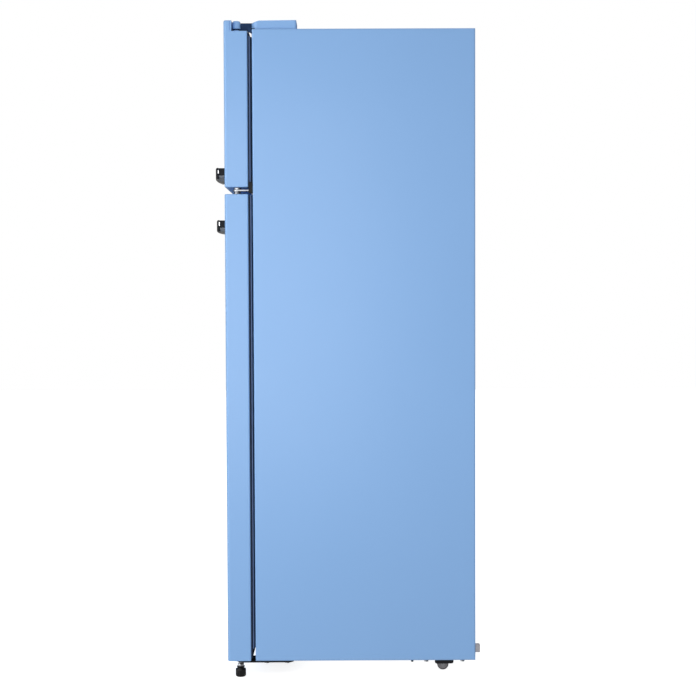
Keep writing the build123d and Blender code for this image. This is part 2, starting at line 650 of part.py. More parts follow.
def freezer_shelf():
    """Slatted plastic shelf with a turned-down front edge."""
    side = WALL_INNER - EVAPORATOR - LINER - 0.5
    z = 1240
    slab = block(-side, side, SHELF_FRONT, SHELF_BACK, z, z + 5)
    lip = block(-side, side, SHELF_FRONT, SHELF_FRONT + 4, z - 14, z + 8)
    shelf = slab + lip
    slots = 11
    pitch = 34
    for index in range(slots):
        x = (index - (slots - 1) / 2) * pitch
        slot = block(x - 9, x + 9, SHELF_FRONT + 20, SHELF_BACK - 20, z - 1, z + 6)
        shelf = shelf - fillet(slot.edges().filter_by(Axis.Z), 8)
    return shelf


def glass_shelves():
    """Toughened glass panes that lie on the liner's ledges."""
    side = WALL_INNER - LINER - 0.5
    panes = []
    for z in LEDGES[1:]:
        pane = block(-side, side, SHELF_FRONT + 4, SHELF_BACK, z, z + GLASS)
        panes.append(pane)
    return group(panes)


def shelf_trims():
    """Plastic front rails clipped on the glass shelves."""
    side = WALL_INNER - LINER - 0.5
    trims = []
    for z in LEDGES[1:]:
        rail = block(-side, side, SHELF_FRONT - 8, SHELF_FRONT + 4, z - 4, z + GLASS + 6)
        trims.append(fillet(rail.edges().filter_by(Axis.X), 2.5))
    return group(trims)


def crisper_cover():
    """Glass lid over the vegetable drawer; it also is the lowest shelf."""
    side = WALL_INNER - LINER - 0.5
    return block(-side, side, SHELF_FRONT - 8, SHELF_BACK, LEDGES[0], LEDGES[0] + GLASS)


def crisper_drawer():
    """Open-topped vegetable drawer with a finger lip along its front."""
    low, high = FLOOR + LINER + 0.5, 300
    side = 212
    wall = 2.5
    tub = block(-side, side, CRISPER_FRONT, CRISPER_BACK, low, high)
    tub = fillet(tub.edges().filter_by(Axis.Z), 14)
    room = block(-side + wall, side - wall, CRISPER_FRONT + wall, CRISPER_BACK - wall, low + wall,
                 high + 5)
    room = fillet(room.edges().filter_by(Axis.Z), 14 - wall)
    lip = block(-110, 110, CRISPER_FRONT - 14, CRISPER_FRONT + wall, high - 12, high - 9)
    lip = lip + block(-110, 110, CRISPER_FRONT - 14, CRISPER_FRONT - 11.5, high - 24, high - 9)
    return (tub - room) + lip


def control_housing():
    """Thermostat and lamp box on the right wall of the fridge."""
    wall = WALL_INNER - LINER
    box = block(wall - 52, wall, -70, 90, 905, 1015)
    box = fillet(box.faces().sort_by(Axis.X)[0].edges(), 8)
    room = block(wall - 49, wall + 1, -67, 87, 908, 1012)
    room = fillet(room.faces().sort_by(Axis.X)[0].edges(), 5)
    shaft_hole = bar_y(KNOB_X, -71, -60, KNOB_Z, 4.4)
    window = block(wall - 53, wall - 48, -10, 74, 922, 998)
    return (box - room) - shaft_hole - window


KNOB_X = 200.0
KNOB_Z = 960.0


def thermostat_knob():
    """Dial with a raised grip bar; its shaft runs in the housing's front wall."""
    face = -70.3
    dial = bar_y(KNOB_X, face - 7, face, KNOB_Z, 18)
    dial = fillet(dial.edges().sort_by(Axis.Y)[0], 1.5)
    grip = block(KNOB_X - 3.5, KNOB_X + 3.5, face - 15, face - 7, KNOB_Z - 16, KNOB_Z + 16)
    grip = fillet(grip.edges().filter_by(Axis.Y), 3.2)
    shaft = bar_y(KNOB_X, face, -56, KNOB_Z, 4.3)
    return joined([dial, grip, shaft])


def lamp_lens():
    """Ribbed light cover that fills the window of the control housing."""
    x = WALL_INNER - LINER - 52
    pane = block(x - 1.5, x + 2.5, -9.7, 73.7, 922.3, 997.7)
    ribs = []
    for index in range(9):
        y = -2 + index * 8.5
        ribs.append(block(x - 3, x - 1.5, y - 1.6, y + 1.6, 926, 994))
    return joined([pane] + ribs)


def door_switch_button():
    """Push button that the fridge door holds in."""
    tip = DOOR_BACK + 0.5
    stem = bar_y(SWITCH_X, tip, SWITCH_BACK - 9, SWITCH_Z, SWITCH_RADIUS)
    return fillet(stem.edges().sort_by(Axis.Y)[0], 1.5)


# ---------------------------------------------------------------- doors
def rounded_plan(x0, x1, y0, y1, z0, z1, front_radius, back_radius):
    """A block whose vertical edges are rounded, more at the front than at the back."""
    solid = block(x0, x1, y0, y1, z0, z1)
    uprights = solid.edges().filter_by(Axis.Z).sort_by(Axis.Y)
    solid = fillet(uprights[:2], front_radius)
    uprights = solid.edges().filter_by(Axis.Z).sort_by(Axis.Y)
    return fillet(uprights[-2:], back_radius)


def door_outline(z0, z1):
    return rounded_plan(-HALF_WIDTH, HALF_WIDTH, DOOR_FRONT, DOOR_BACK, z0, z1, 6, 3)


def door_core(z0, z1):
    inset = SHEET
    return rounded_plan(-HALF_WIDTH + inset, HALF_WIDTH - inset, DOOR_FRONT + inset,
                        DOOR_BACK - LINER, z0, z1, 5, 2)


CAP = 12.0                    # depth of a door end cap
CAP_WALL = 2.5
FREEZER_CAP_TOP = CROWN_TOP - 38.3
HEM = 9.0                     # rear return of the door skin


def door_skin(low, high):
    """Steel sheet folded round the front and both sides of a door."""
    outer = door_outline(low + CAP, high)
    hollow = door_core(low + CAP - 1, high + 1)
    opening = block(-HALF_WIDTH + HEM, HALF_WIDTH - HEM, DOOR_BACK - LINER - 1, DOOR_BACK + 1,
                    low + CAP - 1, high + 1)
    return outer - hollow - opening


def plain_cap(z0, z1, opens_down):
    """Moulded end cap, hollow on the foam side, with the boss for a hinge pin."""
    cap = door_outline(z0, z1)
    face = cap.faces().sort_by(Axis.Z)[0 if not opens_down else -1]
    cap = fillet(face.edges(), 2)
    if opens_down:
        room = door_core(z0 - 1, z1 - CAP_WALL)
        boss = post(HINGE_X, HINGE_Y, z1 - 19, z1, BOSS_RADIUS)
        hole = post(HINGE_X, HINGE_Y, z1 - 17, z1 + 1, PIN_HOLE)
    else:
        room = door_core(z0 + CAP_WALL, z1 + 1)
        boss = post(HINGE_X, HINGE_Y, z0, z0 + 19, BOSS_RADIUS)
        hole = post(HINGE_X, HINGE_Y, z0 - 1, z0 + 17, PIN_HOLE)
    return (cap - room) + boss - hole


def crown_cap():
    """Tall top cap of the freezer door: a raised front edge with a step behind it."""
    cap = door_outline(FREEZER_CAP_TOP, CROWN_TOP)
    cap = fillet(cap.faces().sort_by(Axis.Z)[-1].edges(), 3.5)
    step = block(-HALF_WIDTH - 1, HALF_WIDTH + 1, STEP_FRONT, DOOR_BACK + 1, STEP_FLOOR,
                 CROWN_TOP + 1)
    room = door_core(FREEZER_CAP_TOP - 1, STEP_FLOOR - CAP_WALL)
    high_room = block(-HALF_WIDTH + 4, HALF_WIDTH - 4, DOOR_FRONT + 4, STEP_FRONT - CAP_WALL,
                      STEP_FLOOR - 4, CROWN_TOP - 4)
    groove = block(HALF_WIDTH - 2, HALF_WIDTH + 1, -240.8, -239.4, STEP_FLOOR, CROWN_TOP + 1)
    boss = post(HINGE_X, HINGE_Y, STEP_FLOOR - 21, STEP_FLOOR, BOSS_RADIUS)
    collar = post(HINGE_X, HINGE_Y, STEP_FLOOR, CABINET_TOP - 0.5, 7.5)
    hole = post(HINGE_X, HINGE_Y, STEP_FLOOR - 18, CABINET_TOP + 1, PIN_HOLE)
    cap = cap - step - room - high_room - groove - mirrored(groove)
    return cap + boss + collar - hole


def ridge_boxes(z0, z1, grow):
    """The four foam-filled ridges on a door's inner face, grown by the liner's thickness."""
    outer, width, top = 214 + grow, 18, RIDGE_BACK + grow
    inner = outer - width - 2 * grow
    y0 = DOOR_BACK - LINER
    low, high = z0 - grow, z1 + grow
    thick = width + 2 * grow
    return [block(-outer, -inner, y0, top, low, high),
            block(inner, outer, y0, top, low, high),
            block(-inner, inner, y0, top, low, low + thick),
            block(-inner, inner, y0, top, high - thick, high)]


RIDGE_BACK = -162.0


def door_liner(low, high, ridge):
    """Thin moulded inner skin whose ridges hold the racks."""
    side = HALF_WIDTH - HEM - 0.2
    sheet = block(-side, side, DOOR_BACK - LINER, DOOR_BACK, low + CAP, high)
    ridges = joined(ridge_boxes(ridge[0], ridge[1], LINER))
    ridges = fillet(ridges.faces().sort_by(Axis.Y)[-1].edges(), 1.8)
    hollow = joined(ridge_boxes(ridge[0], ridge[1], 0))
    return (sheet + ridges) - hollow


def gasket(span, base_span):
    """Soft magnetic seal: a bulged bead on a flat base round the rear of a door."""
    low, high = span
    thickness = CABINET_FRONT - DOOR_BACK - 0.4
    bead = [(0, 4.0), (0.28, 0.0), (0.62, 0.0), (1.0, 9.5)]
    rings = []
    for (t0, inset0), (t1, inset1) in zip(bead[:-1], bead[1:]):
        rings.append((DOOR_BACK + t0 * thickness, inset0, DOOR_BACK + t1 * thickness, inset1))
    solid = None
    for y0, inset0, y1, inset1 in rings:
        sections = []
        for y, inset in ((y0, inset0), (y1, inset1)):
            width = 2 * (GASKET_OUTER - inset)
            height = high - low - 2 * inset
            face = Plane(origin=(0, y, (low + high) / 2), x_dir=(1, 0, 0), z_dir=(0, 1, 0))
            sections.append(face * Rectangle(width, height))
        layer = loft(sections)
        solid = layer if solid is None else solid + layer
    band = 16
    base_half = GASKET_OUTER - 2
    base = block(-base_half, base_half, DOOR_BACK, DOOR_BACK + 3.2, base_span[0], base_span[1])
    opening = block(-GASKET_OUTER + band, GASKET_OUTER - band, DOOR_BACK - 1, CABINET_FRONT + 1,
                    low + band, high - band)
    return (solid + base) - opening


def rack(z, height, depth_back):
    """Door rack: an open tray that clips between the ridges."""
    side, wall = 193.5, 2.5
    y0 = DOOR_BACK + 0.3
    tray = block(-side, side, y0, depth_back, z, z + height)
    tray = fillet(tray.edges().filter_by(Axis.Z).sort_by(Axis.Y)[-2:], 10)
    room = block(-side + wall, side - wall, y0 + wall, depth_back - wall, z + wall,
                 z + height + 1)
    room = fillet(room.edges().filter_by(Axis.Z).sort_by(Axis.Y)[-2:], 7.5)
    return tray - room


def handle_curve(handle, radius_change, z0, z1):
    """Upright cylinder whose front, at no change, is the bowed front of a handle."""
    half_span = (HANDLE_RIGHT - HANDLE_LEFT) / 2
    radius = (half_span ** 2 + HANDLE_BOW ** 2) / (2 * HANDLE_BOW)
    x = (HANDLE_LEFT + HANDLE_RIGHT) / 2
    y = handle[1] - HANDLE_BOW + radius
    return post(x, y, z0, z1, radius + radius_change)


def handle_bar(handle):
    """Chrome bar: a tall bowed front plate with a finger lip behind it."""
    low, high = handle[0] - HANDLE_HEIGHT / 2, handle[0] + HANDLE_HEIGHT / 2
    reach = block(HANDLE_LEFT, HANDLE_RIGHT, handle[1] - 20, handle[1] + 20, low, high)
    bar = handle_curve(handle, 0, low, high) & reach
    bar = fillet(bar.faces().sort_by(Axis.Y)[0].edges(), 3.5)
    bar = bar - handle_curve(handle, -HANDLE_BAR, low - 1, high + 1)
    lip = block(HANDLE_LEFT + 4, HANDLE_RIGHT, handle[1] - 10, handle[1] + HANDLE_BAR + 14,
                low + 5, low + PEDESTAL_LOW)
    return bar + (lip & handle_curve(handle, -HANDLE_BAR / 2, low, high))


def handle_mounts(handle):
    """Two black pedestals between the bar and the door."""
    low = handle[0] - HANDLE_HEIGHT / 2 + PEDESTAL_LOW
    high = handle[0] + HANDLE_HEIGHT / 2 - 0.6
    pedestals = []
    for x0, x1 in ((HANDLE_LEFT + 5, HANDLE_LEFT + 29), (HANDLE_RIGHT - 27, HANDLE_RIGHT - 3)):
        pedestal = block(x0, x1, handle[1] - 10, DOOR_FRONT, low, high)
        pedestals.append(pedestal & handle_curve(handle, -HANDLE_BAR, low, high))
    return group(pedestals)


PEDESTAL_LOW = 9.8            # the pedestals' undersides, from the bars' lower edges
FREEZER_RIDGE = (1133.0, 1360.0)
FRIDGE_RIDGE = (340.0, 1030.0)
FREEZER_RACKS = ((1156.0, 55.0, -125.0), (1264.0, 45.0, -125.0))
FRIDGE_RACKS = ((362.0, 95.0, -118.0), (618.0, 60.0, -118.0), (836.0, 50.0, -118.0))


def freezer_door_foam():
    low = FREEZER_DOOR_BOTTOM + CAP_WALL
    slab = door_core(low, STEP_FLOOR - CAP_WALL)
    slab = slab - post(HINGE_X, HINGE_Y, low - 1, FREEZER_DOOR_BOTTOM + 19, BOSS_RADIUS)
    slab = slab - post(HINGE_X, HINGE_Y, STEP_FLOOR - 21, STEP_FLOOR, BOSS_RADIUS)
    return group([slab] + ridge_boxes(FREEZER_RIDGE[0], FREEZER_RIDGE[1], 0))


def fridge_door_foam():
    low = FRIDGE_DOOR_BOTTOM + CAP_WALL
    high = FRIDGE_DOOR_TOP - CAP_WALL
    slab = door_core(low, high)
    slab = slab - post(HINGE_X, HINGE_Y, low - 1, FRIDGE_DOOR_BOTTOM + 19, BOSS_RADIUS)
    slab = slab - post(HINGE_X, HINGE_Y, FRIDGE_DOOR_TOP - 19, high + 1, BOSS_RADIUS)
    return group([slab] + ridge_boxes(FRIDGE_RIDGE[0], FRIDGE_RIDGE[1], 0))


# ---------------------------------------------------------------- write every node
def main():
    os.makedirs("parts", exist_ok=True)

    panel = side_panel()
    save("right_side_panel", panel)
    save("left_side_panel", mirrored(panel))
    save("top_panel", top_panel())
    save("back_panel", back_panel())
    save("centre_beam", centre_beam())
    save("bottom_beam", bottom_beam())
    save("bottom_pan", bottom_pan())

    condenser = condenser_tube()
    save("condenser_tubes", group([condenser, mirrored(condenser)]))
    save("cabinet_foam", cabinet_foam())
    save("freezer_liner", freezer_liner())
    save("fridge_liner", fridge_liner())
    save("evaporators", evaporators())

    save("top_hinge", top_hinge())
    save("top_hinge_pin_cap", top_hinge_pin_cap())
    save("top_hinge_cover", top_hinge_cover())
    save("middle_hinge", middle_hinge())
    save("middle_hinge_cover", middle_hinge_cover())
    save("bottom_hinge", bottom_hinge())
    save("left_foot_bracket", left_foot_bracket())
    save("cabinet_screws", cabinet_screws())
    foot = front_foot()
    save("front_foot_right", foot)
    save("front_foot_left", mirrored(foot))
    bracket = roller_bracket()
    save("roller_brackets", group([bracket, mirrored(bracket)]))
    axle = roller_axle()
    save("roller_axles", group([axle, mirrored(axle)]))
    wheel = roller()
    save("rear_roller_right", wheel)
    save("rear_roller_left", mirrored(wheel))

    save("compressor_base", compressor_base())
    save("compressor_grommets", compressor_grommets())
    save("compressor", compressor())
    save("start_relay_cover", start_relay_cover())
    save("refrigerant_tubes", refrigerant_tubes())
    save("filter_drier", filter_drier())
    save("drip_tray", drip_tray())
    save("rear_wall_spacers", rear_wall_spacers())
    save("cord_gland", cord_gland())

    save("freezer_shelf", freezer_shelf())
    save("glass_shelves", glass_shelves())
    save("shelf_trims", shelf_trims())
    save("crisper_cover", crisper_cover())
    save("crisper_drawer", crisper_drawer())
    save("control_housing", control_housing())
    save("thermostat_knob", thermostat_knob())
    save("lamp_lens", lamp_lens())
    save("door_switch_button", door_switch_button())

    save("freezer_door_skin", door_skin(FREEZER_DOOR_BOTTOM, FREEZER_CAP_TOP))
    save("freezer_door_caps", group([
        crown_cap(),
        plain_cap(FREEZER_DOOR_BOTTOM, FREEZER_DOOR_BOTTOM + CAP, opens_down=False)]))
    save("freezer_door_foam", freezer_door_foam())
    save("freezer_door_liner", door_liner(FREEZER_DOOR_BOTTOM, FREEZER_CAP_TOP, FREEZER_RIDGE))
    save("freezer_gasket", gasket(FREEZER_GASKET, FREEZER_GASKET_BASE))
    save("freezer_door_racks", group([rack(*row) for row in FREEZER_RACKS]))
    save("freezer_handle", handle_bar(FREEZER_HANDLE))
    save("freezer_handle_mounts", handle_mounts(FREEZER_HANDLE))

    save("fridge_door_skin", door_skin(FRIDGE_DOOR_BOTTOM, FRIDGE_DOOR_TOP - CAP))
    save("fridge_door_caps", group([
        plain_cap(FRIDGE_DOOR_TOP - CAP, FRIDGE_DOOR_TOP, opens_down=True),
        plain_cap(FRIDGE_DOOR_BOTTOM, FRIDGE_DOOR_BOTTOM + CAP, opens_down=False)]))
    save("fridge_door_foam", fridge_door_foam())
    save("fridge_door_liner", door_liner(FRIDGE_DOOR_BOTTOM, FRIDGE_DOOR_TOP - CAP, FRIDGE_RIDGE))
    save("fridge_gasket", gasket(FRIDGE_GASKET, FRIDGE_GASKET_BASE))
    save("fridge_door_racks", group([rack(*row) for row in FRIDGE_RACKS]))
    save("fridge_handle", handle_bar(FRIDGE_HANDLE))
    save("fridge_handle_mounts", handle_mounts(FRIDGE_HANDLE))


main()
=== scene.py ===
"""Looks of the top freezer refrigerator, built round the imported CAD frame.

Metres, the CAD part's own frame: +Z up, doors face -Y, hinges on the +X side.
"""
import json
import math

import bmesh
import bpy
from mathutils import Matrix, Vector


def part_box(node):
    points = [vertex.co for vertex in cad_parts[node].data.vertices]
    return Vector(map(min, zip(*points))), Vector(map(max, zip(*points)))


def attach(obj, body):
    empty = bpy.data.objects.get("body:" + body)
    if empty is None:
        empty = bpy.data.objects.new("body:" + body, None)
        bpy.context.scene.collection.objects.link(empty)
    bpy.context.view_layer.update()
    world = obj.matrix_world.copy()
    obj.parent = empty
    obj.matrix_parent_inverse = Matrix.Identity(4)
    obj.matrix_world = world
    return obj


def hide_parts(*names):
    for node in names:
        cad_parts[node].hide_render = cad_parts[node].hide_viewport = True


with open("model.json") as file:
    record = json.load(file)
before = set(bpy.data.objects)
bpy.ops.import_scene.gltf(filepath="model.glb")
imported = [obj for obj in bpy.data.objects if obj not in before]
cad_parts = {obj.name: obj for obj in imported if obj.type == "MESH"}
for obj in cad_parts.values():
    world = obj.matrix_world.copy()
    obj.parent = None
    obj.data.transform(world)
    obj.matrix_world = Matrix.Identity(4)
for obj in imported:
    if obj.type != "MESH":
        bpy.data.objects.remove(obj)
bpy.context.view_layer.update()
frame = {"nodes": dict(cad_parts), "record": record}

MM = 0.001

IMAGE_SIZE = 696
FOCAL_PIXELS = 1373.3
SENSOR_MM = 36.0
CAMERA_PLACE = Vector((3.2829, 0.0115, 0.8459))
CAMERA_YAW = -0.0022          # radians
CAMERA_PITCH = -0.0381
CAMERA_ROLL = 0.0039

PAINT_BLUE = (0.250, 0.458, 0.800)
MOTTLE_LOW, MOTTLE_HIGH = 0.3, 0.7   # the part of a noise's range that a mottle uses
SHARP_ANGLE = math.radians(32)       # edges sharper than this aren't smoothed

AMBIENT = 0.62                # brightness of the even light
ROOM_SIDES = 0.13             # brightness of the room in reflections
REFLECTED = (                 # direction, soft edge as cosines, brightness
    ((0, 0, -1), 0.12, 0.35, 0.55),          # floor
    ((0, 0, 1), 0.55, 0.80, 0.90),           # ceiling
    ((1, 0, 0.05), 0.90, 0.985, 0.30),       # wall behind the camera
    ((0.62, -0.78, 0.1), 0.90, 0.97, 3.5),   # window on the doors' side
)


# ---------------------------------------------------------------- stage, camera and light
def make_camera():
    """Looks along -X at the hinge side, slightly downwards."""
    data = bpy.data.cameras.new("camera")
    data.sensor_width = SENSOR_MM
    data.lens = FOCAL_PIXELS / IMAGE_SIZE * SENSOR_MM
    data.clip_start = 0.05
    data.clip_end = 60
    camera = bpy.data.objects.new("camera", data)
    bpy.context.scene.collection.objects.link(camera)
    turn = Matrix.Rotation(math.pi / 2 + CAMERA_YAW, 4, "Z")
    tilt = Matrix.Rotation(math.pi / 2 + CAMERA_PITCH, 4, "X")
    roll = Matrix.Rotation(-CAMERA_ROLL, 4, "Z")
    camera.matrix_world = Matrix.Translation(CAMERA_PLACE) @ turn @ tilt @ roll
    bpy.context.scene.camera = camera


def make_world():
    """White backdrop for the camera, even light, and a darker studio in the reflections."""
    world = bpy.data.worlds.new("studio")
    bpy.context.scene.world = world
    world.use_nodes = True
    nodes, links = world.node_tree.nodes, world.node_tree.links
    nodes.clear()
    output = nodes.new("ShaderNodeOutputWorld")
    path = nodes.new("ShaderNodeLightPath")
    place = nodes.new("ShaderNodeTexCoord")

    def background(color, strength):
        node = nodes.new("ShaderNodeBackground")
        node.inputs["Color"].default_value = color + (1,)
        node.inputs["Strength"].default_value = strength
        return node.outputs["Background"]

    def choose(factor, low, high):
        node = nodes.new("ShaderNodeMixShader")
        links.new(factor, node.inputs["Fac"])
        links.new(low, node.inputs[1])
        links.new(high, node.inputs[2])
        return node.outputs["Shader"]

    def facing(direction, start, end):
        """0 away from a direction, 1 near it, with a soft edge."""
        dot = nodes.new("ShaderNodeVectorMath")
        dot.operation = "DOT_PRODUCT"
        dot.inputs[1].default_value = Vector(direction).normalized()
        links.new(place.outputs["Generated"], dot.inputs[0])
        span = nodes.new("ShaderNodeMapRange")
        span.interpolation_type = "SMOOTHSTEP"
        span.inputs["From Min"].default_value = start
        span.inputs["From Max"].default_value = end
        links.new(dot.outputs["Value"], span.inputs["Value"])
        return span.outputs["Result"]

    mirrored = background((1, 1, 1), ROOM_SIDES)
    for direction, start, end, strength in REFLECTED:
        mirrored = choose(facing(direction, start, end), mirrored,
                          background((1, 1, 1), strength))
    lighting = choose(path.outputs["Is Glossy Ray"], background((0.98, 0.99, 1.0), AMBIENT),
                      mirrored)
    seen = background((1, 1, 1), 1.0)
    shown = choose(path.outputs["Is Camera Ray"], lighting, seen)
    links.new(shown, output.inputs["Surface"])


def make_softbox(name, place, target, width, height, watts):
    """A rectangular area light aimed at a point."""
    data = bpy.data.lights.new(name, "AREA")
    data.shape = "RECTANGLE"
    data.size = width
    data.size_y = height
    data.energy = watts
    light = bpy.data.objects.new(name, data)
    bpy.context.scene.collection.objects.link(light)
    light.location = place
    direction = Vector(target) - Vector(place)
    light.rotation_euler = direction.to_track_quat("-Z", "Y").to_euler()
    light.visible_camera = False


def make_floor():
    """Plain white floor, just under the feet; its glow keeps it as bright as the backdrop."""
    reach = 9.0
    below = 0.5 * MM
    mesh = bpy.data.meshes.new("floor")
    corners = [(-reach, -reach, 0), (reach, -reach, 0), (reach, reach, 0), (-reach, reach, 0)]
    mesh.from_pydata(corners, [], [(0, 1, 2, 3)])
    floor = bpy.data.objects.new("floor", mesh)
    bpy.context.scene.collection.objects.link(floor)
    floor.location.z = -below
    floor.visible_diffuse = False
    floor.visible_glossy = False
    material = bpy.data.materials.new("floor_white")
    material.use_nodes = True
    surface = material.node_tree.nodes["Principled BSDF"]
    surface.inputs["Base Color"].default_value = (0.85, 0.85, 0.85, 1)
    surface.inputs["Roughness"].default_value = 0.9
    surface.inputs["Emission Color"].default_value = (1, 1, 1, 1)
    surface.inputs["Emission Strength"].default_value = 0.80
    mesh.materials.append(material)


# ---------------------------------------------------------------- material building blocks
class Surface:
    """A node material with a Principled shader and object coordinates in metres."""

    def __init__(self, name, color, roughness, metallic=0.0):
        self.material = bpy.data.materials.new(name)
        self.material.use_nodes = True
        self.nodes = self.material.node_tree.nodes
        self.links = self.material.node_tree.links
        self.shader = self.nodes["Principled BSDF"]
        self.color = color
        self.shader.inputs["Base Color"].default_value = color + (1,)
        self.shader.inputs["Roughness"].default_value = roughness
        self.shader.inputs["Metallic"].default_value = metallic
        self.place = self.nodes.new("ShaderNodeTexCoord").outputs["Object"]
        self.normal = None

    def set(self, **values):
        """Sets the shader's own sockets, named with _ for a space."""
        for key, value in values.items():
            self.shader.inputs[key.replace("_", " ")].default_value = value

    def noise(self, scale, detail):
        """Noise between 0 and 1, with about scale features to the metre."""
        texture = self.nodes.new("ShaderNodeTexNoise")
        texture.inputs["Scale"].default_value = scale
        texture.inputs["Detail"].default_value = detail
        texture.inputs["Roughness"].default_value = 0.5
        self.links.new(self.place, texture.inputs["Vector"])
        return texture.outputs["Fac"]

    def vary_color(self, scale, amount, detail=3.0):
        """Mottles the base colour lighter and darker by amount."""
        ramp = self.nodes.new("ShaderNodeValToRGB")
        dark, light = ramp.color_ramp.elements
        dark.position, light.position = MOTTLE_LOW, MOTTLE_HIGH
        dark.color = [value * (1 - amount) for value in self.color] + [1]
        light.color = [min(value * (1 + amount), 1) for value in self.color] + [1]
        self.links.new(self.noise(scale, detail), ramp.inputs["Fac"])
        self.links.new(ramp.outputs["Color"], self.shader.inputs["Base Color"])

    def vary_roughness(self, scale, low, high):
        """Mottles the roughness between low and high."""
        span = self.nodes.new("ShaderNodeMapRange")
        span.inputs["From Min"].default_value = MOTTLE_LOW
        span.inputs["From Max"].default_value = MOTTLE_HIGH
        span.inputs["To Min"].default_value = low
        span.inputs["To Max"].default_value = high
        self.links.new(self.noise(scale, 4.0), span.inputs["Value"])
        self.links.new(span.outputs["Result"], self.shader.inputs["Roughness"])

    def bump(self, scale, detail, depth, strength):
        """Adds noise relief of the given depth in metres."""
        node = self.nodes.new("ShaderNodeBump")
        node.inputs["Strength"].default_value = strength
        node.inputs["Distance"].default_value = depth
        self.links.new(self.noise(scale, detail), node.inputs["Height"])
        if self.normal:
            self.links.new(self.normal, node.inputs["Normal"])
        self.normal = node.outputs["Normal"]
        self.links.new(self.normal, self.shader.inputs["Normal"])


# ---------------------------------------------------------------- materials
def blue_paint(name, color, roughness):
    """Baked satin enamel: faint orange peel and a soft sheen."""
    surface = Surface(name, color, roughness)
    surface.set(Specular_IOR_Level=0.45, Coat_Weight=0.15, Coat_Roughness=0.25)
    surface.vary_color(1.4, 0.012)
    surface.vary_roughness(6, roughness - 0.03, roughness + 0.05)
    surface.bump(420, 2, 0.00006, 0.35)
    return surface.material


def coated_steel(name, color):
    """Galvanised sheet with a faint spangle."""
    surface = Surface(name, color, 0.45, metallic=0.35)
    surface.vary_color(55, 0.07, detail=1.5)
    surface.vary_roughness(30, 0.38, 0.55)
    surface.bump(300, 2, 0.00006, 0.3)
    return surface.material


def powder_coat(name, color):
    """Matt, finely pebbled coating."""
    surface = Surface(name, color, 0.48)
    surface.set(Specular_IOR_Level=0.20)
    surface.vary_color(18, 0.15)
    surface.bump(900, 2, 0.00012, 0.5)
    return surface.material


def bright_metal(name, color, roughness):
    """Plated or bare sheet: fine grain and uneven polish."""
    surface = Surface(name, color, roughness, metallic=1.0)
    surface.vary_color(60, 0.10)
    surface.vary_roughness(45, roughness - 0.06, roughness + 0.12)
    surface.bump(700, 2, 0.00005, 0.3)
    return surface.material


def chrome(name):
    """Mirror plate with a very slight waviness."""
    surface = Surface(name, (0.82, 0.83, 0.85), 0.06, metallic=1.0)
    surface.vary_roughness(35, 0.04, 0.10)
    surface.bump(25, 1, 0.00005, 0.2)
    return surface.material


def moulded_plastic(name, color, roughness, grain=0.00008, specular=0.5):
    """Injection moulding: fine grain and slightly uneven gloss."""
    surface = Surface(name, color, roughness)
    surface.set(Specular_IOR_Level=specular)
    surface.vary_color(9, 0.025)
    surface.vary_roughness(14, roughness - 0.04, roughness + 0.06)
    surface.bump(1300, 2, grain, 0.5)
    return surface.material


def vacuum_formed(name, color):
    """Glossy liner sheet with the slow ripple of a formed skin."""
    surface = Surface(name, color, 0.22)
    surface.vary_color(2.5, 0.012)
    surface.vary_roughness(8, 0.17, 0.28)
    surface.bump(22, 2, 0.0005, 0.15)
    surface.bump(600, 1, 0.00004, 0.3)
    return surface.material


def clear_moulding(name, color):
    """Clear polystyrene with faint flow marks."""
    surface = Surface(name, color, 0.12)
    surface.set(Transmission_Weight=0.85, IOR=1.49)
    surface.vary_roughness(20, 0.08, 0.2)
    surface.bump(90, 2, 0.0001, 0.2)
    return surface.material


def sheet_glass(name):
    """Clear glass with a greenish tint."""
    surface = Surface(name, (0.82, 0.93, 0.90), 0.03)
    surface.set(Transmission_Weight=1.0, IOR=1.5)
    surface.vary_roughness(12, 0.015, 0.06)
    return surface.material


def frosted_lens(name):
    """Milky plastic with a fine frosted grain."""
    surface = Surface(name, (0.93, 0.93, 0.90), 0.4)
    surface.set(Transmission_Weight=0.45, IOR=1.49)
    surface.vary_roughness(40, 0.33, 0.5)
    surface.bump(800, 2, 0.00008, 0.4)
    return surface.material


def soft_rubber(name, color, roughness):
    """Dull flexible vinyl or rubber."""
    surface = Surface(name, color, roughness)
    surface.vary_color(30, 0.06)
    surface.vary_roughness(60, roughness - 0.05, roughness + 0.08)
    surface.bump(1000, 2, 0.0001, 0.4)
    return surface.material


def rigid_foam(name):
    """Yellowish polyurethane foam with open cells."""
    surface = Surface(name, (0.86, 0.79, 0.58), 0.85)
    surface.vary_color(25, 0.10, detail=5)
    surface.bump(350, 4, 0.0006, 0.7)
    return surface.material


def copper_tube(name):
    """Drawn copper, tarnished in patches."""
    surface = Surface(name, (0.76, 0.38, 0.24), 0.28, metallic=1.0)
    surface.vary_color(40, 0.18)
    surface.vary_roughness(70, 0.2, 0.42)
    return surface.material


